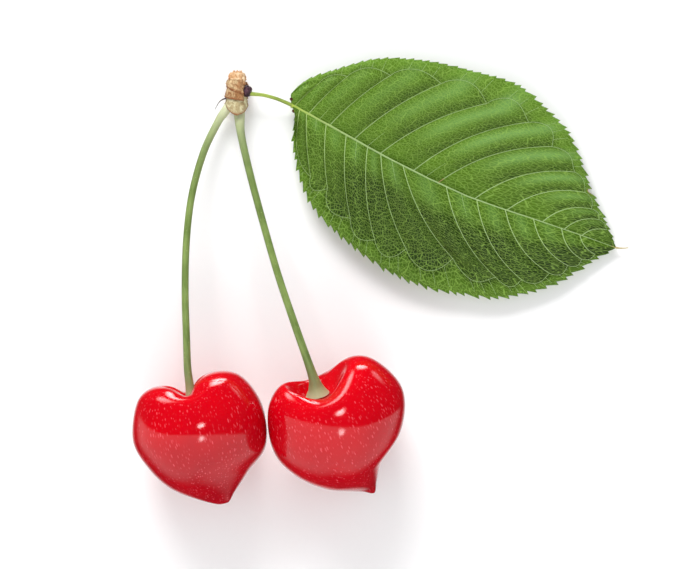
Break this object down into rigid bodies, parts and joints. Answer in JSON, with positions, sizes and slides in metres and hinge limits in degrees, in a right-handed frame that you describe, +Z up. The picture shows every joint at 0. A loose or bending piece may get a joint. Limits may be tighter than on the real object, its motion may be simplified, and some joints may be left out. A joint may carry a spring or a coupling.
{
  "type": "pair of cherries on stalks",
  "caption": "Heart-shaped red sweet cherries on long green stalks from one scaly spur, with a toothed leaf.",
  "frame": {"origin": "on the table under the middle of the whole bunch's box, as the bunch lies at rest", "axes": "+X from the left cherry towards the leaf's tip, +Y from the cherries towards the spur, +Z up off the table"},
  "size_m": [0.0956, 0.0859, 0.0227],
  "materials": {
    "cherry_skin": "gloss",
    "fruit_stalk": "satin",
    "spur_wood": "matte",
    "dark_bud": "matte",
    "bud_scale": "matte",
    "leaf_stalk": "satin",
    "leaf_blade": "satin",
    "gland": "gloss"
  },
  "bodies": {
    "root": {"cherry_left": "cherry_skin", "cherry_right": "cherry_skin", "stalk_left": "fruit_stalk", "stalk_right": "fruit_stalk", "spur": "spur_wood", "side_bud": "dark_bud", "bud_scale_1": "bud_scale", "bud_scale_2": "bud_scale", "bud_scale_3": "bud_scale", "bud_scale_4": "bud_scale", "bud_scale_5": "bud_scale", "bud_scale_6": "bud_scale", "bud_scale_7": "bud_scale", "bud_scale_8": "bud_scale", "bract_thread": "dark_bud", "leaf_stalk": "leaf_stalk", "leaf_blade": "leaf_blade", "gland_upper": "gland", "gland_lower": "gland"}
  },
  "joints": []
}
